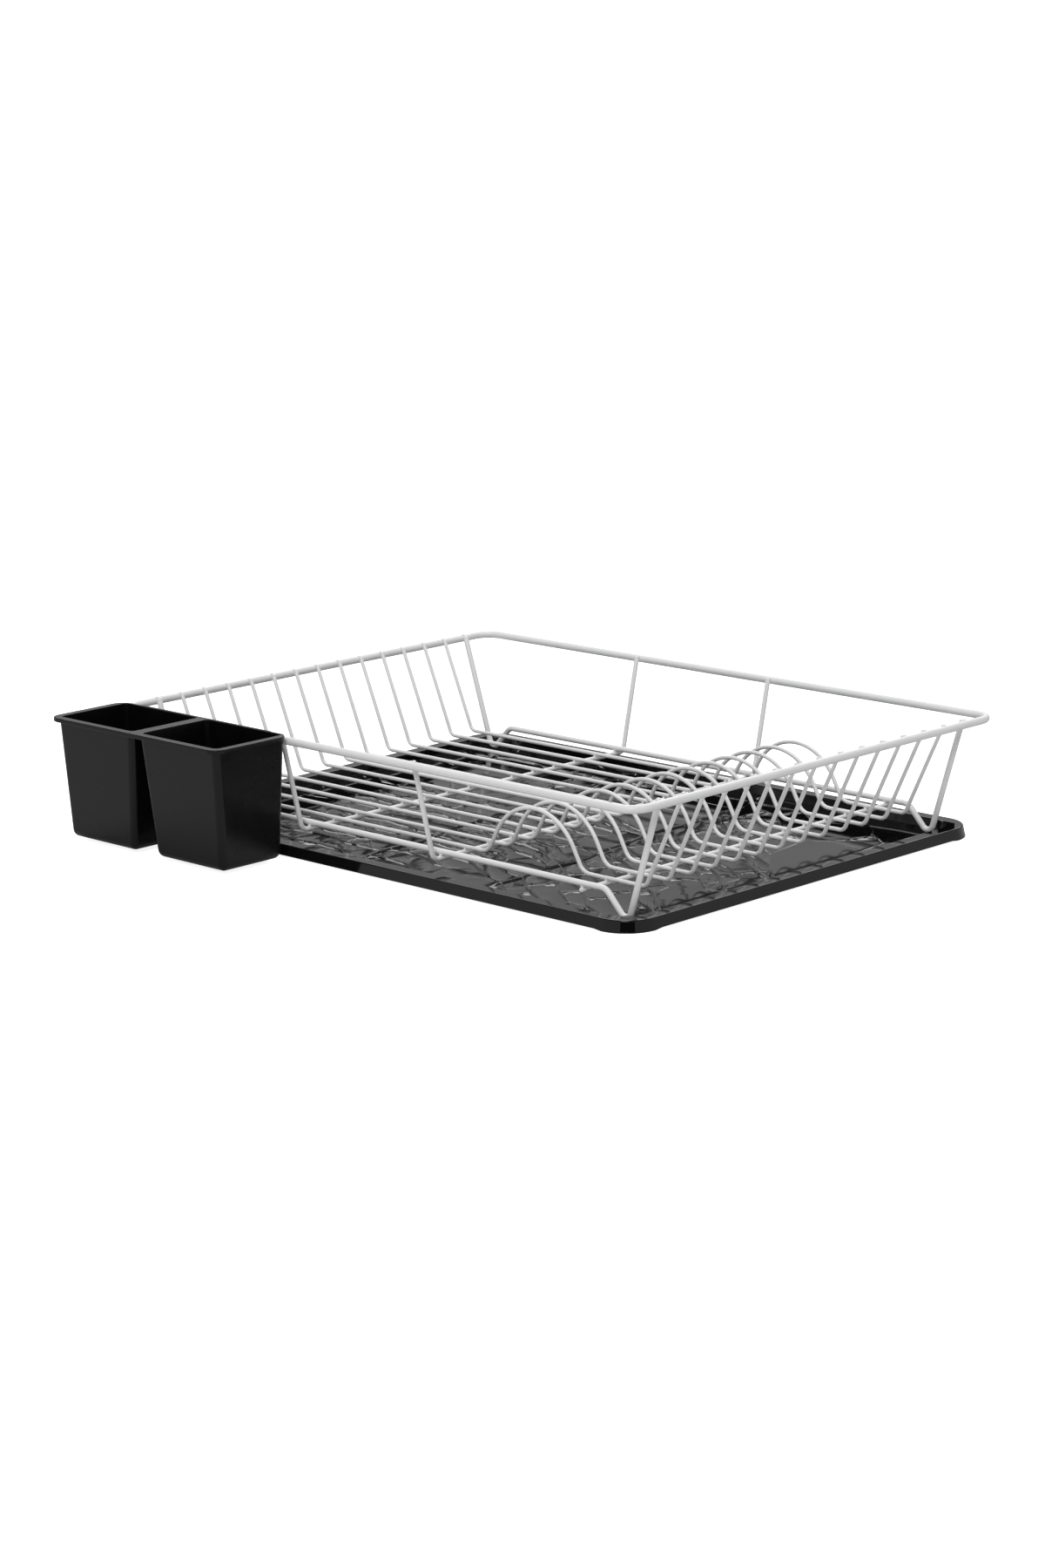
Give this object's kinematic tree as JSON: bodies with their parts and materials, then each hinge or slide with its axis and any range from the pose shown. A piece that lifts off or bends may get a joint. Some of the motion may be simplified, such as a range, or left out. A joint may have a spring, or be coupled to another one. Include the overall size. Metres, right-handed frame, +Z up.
{
  "type": "dish drying rack",
  "caption": "Low wire dish drying rack with humped plate wires, standing in a shallow drip tray, with a twin cutlery holder hooked on its side rail.",
  "frame": {"origin": "middle of the drip tray's flat underside, on the worktop", "axes": "+X along the rack's length towards the plate humps, -Y towards the side that carries the cutlery holder, +Z up"},
  "size_m": [0.4936, 0.4389, 0.0884],
  "materials": {
    "coated_wire": "satin",
    "tray_plastic": "gloss",
    "holder_plastic": "satin"
  },
  "bodies": {
    "tray": {"drip_tray": "tray_plastic"},
    "rack": {"rim_ring": "coated_wire", "leg_wire_front": "coated_wire", "leg_wire_back": "coated_wire", "cross_wire_left": "coated_wire", "cross_wire_middle": "coated_wire", "cross_bar_right": "coated_wire", "plate_wire_01": "coated_wire", "plate_wire_02": "coated_wire", "plate_wire_03": "coated_wire", "plate_wire_04": "coated_wire", "plate_wire_05": "coated_wire", "plate_wire_06": "coated_wire", "plate_wire_07": "coated_wire", "plate_wire_08": "coated_wire", "plate_wire_09": "coated_wire", "plate_wire_10": "coated_wire", "plate_wire_11": "coated_wire", "plate_wire_12": "coated_wire", "plate_wire_13": "coated_wire"},
    "holder": {"cutlery_holder": "holder_plastic"}
  },
  "joints": [
    {"name": "rack_lift", "type": "slide", "parent": "tray", "child": "rack", "axis": [0, 0, 1], "range_m": [0, 0.1]},
    {"name": "holder_lift", "type": "slide", "parent": "rack", "child": "holder", "axis": [0, 0, 1], "range_m": [0, 0.09]}
  ]
}
